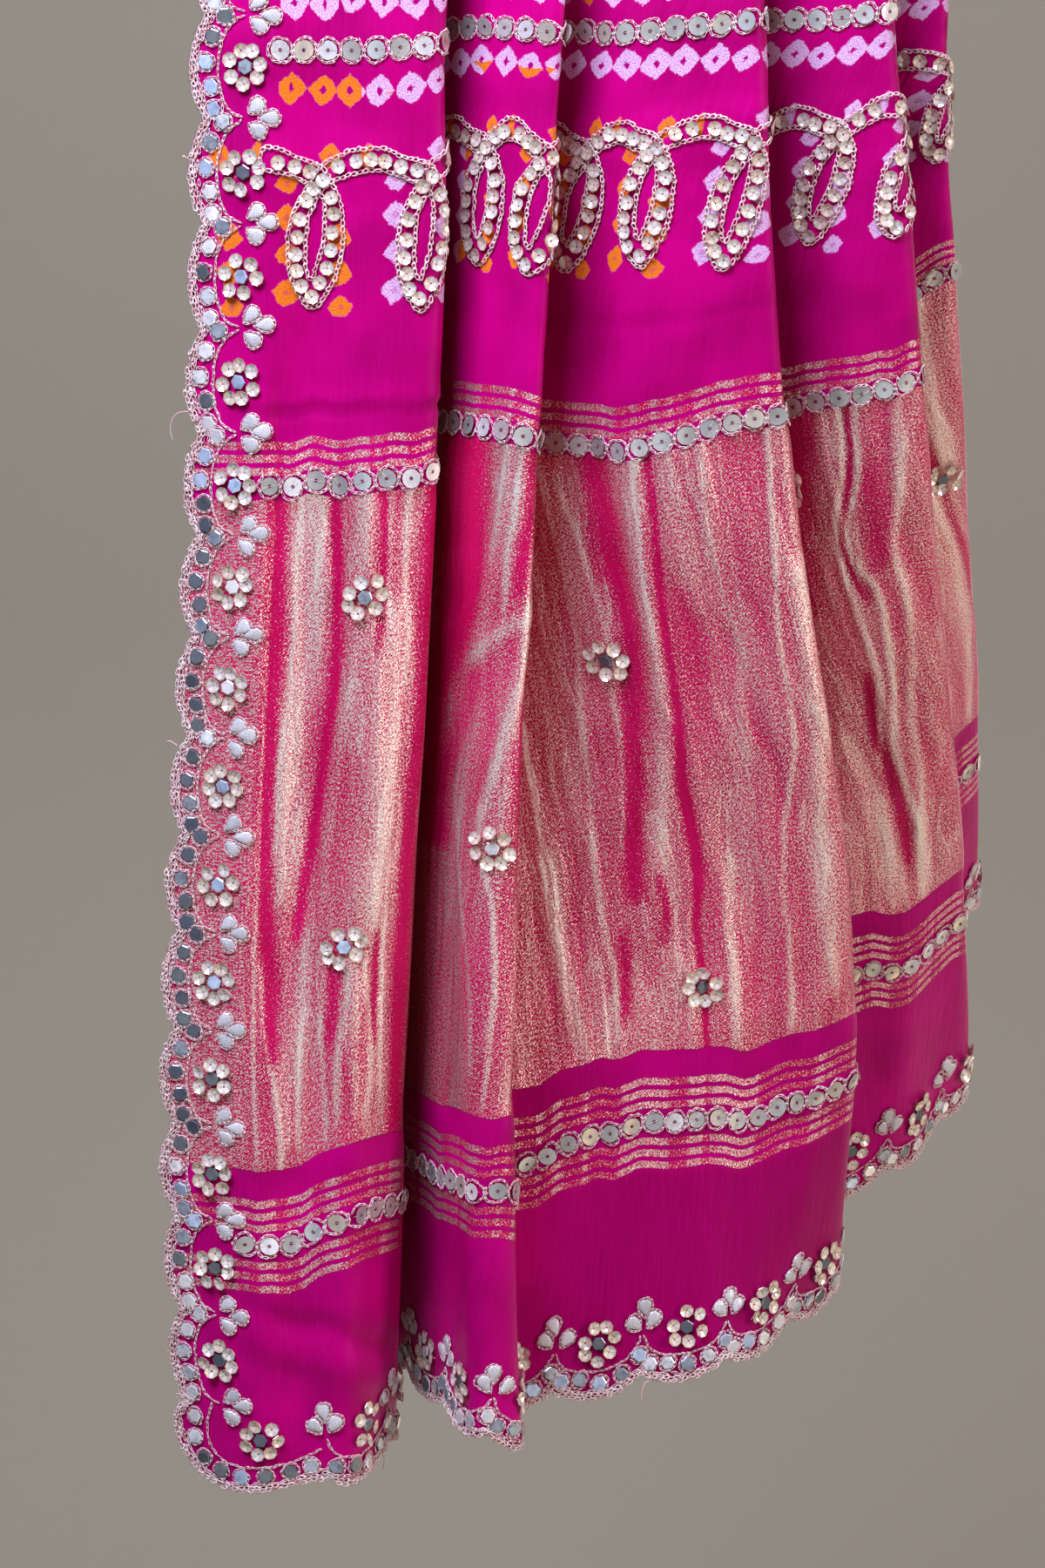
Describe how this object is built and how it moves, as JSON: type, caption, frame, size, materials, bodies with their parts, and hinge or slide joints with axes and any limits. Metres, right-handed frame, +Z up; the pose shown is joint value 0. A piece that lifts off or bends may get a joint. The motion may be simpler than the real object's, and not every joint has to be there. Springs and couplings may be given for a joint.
{
  "type": "bandhani cloth, hanging in pleats",
  "caption": "Silk bandhani cloth hanging in uneven pleats, with a woven gold band, stripes, and a scalloped embroidered border on its left edge and hem.",
  "frame": {"origin": "the middle of the straight top edge that the cloth hangs from", "axes": "+Z up, the face with the embroidery towards -Y, +X to the right of someone who faces it"},
  "size_m": [0.3576, 0.3678, 0.6628],
  "materials": {
    "silk": "soft satin sheen, with a woven gold band",
    "edge_thread": "silver pink chain stitch",
    "sequin": "champagne foil and small mirrors"
  },
  "bodies": {
    "root": {"cloth": "silk", "edge_cord": "edge_thread", "band_flower_01": "sequin", "band_flower_02": "sequin", "band_flower_03": "sequin", "band_flower_04": "sequin", "band_flower_05": "sequin", "band_flower_06": "sequin", "band_flower_07": "sequin", "band_flower_08": "sequin", "band_flower_09": "sequin", "band_flower_10": "sequin", "band_flower_11": "sequin", "band_flower_12": "sequin"}
  },
  "joints": []
}
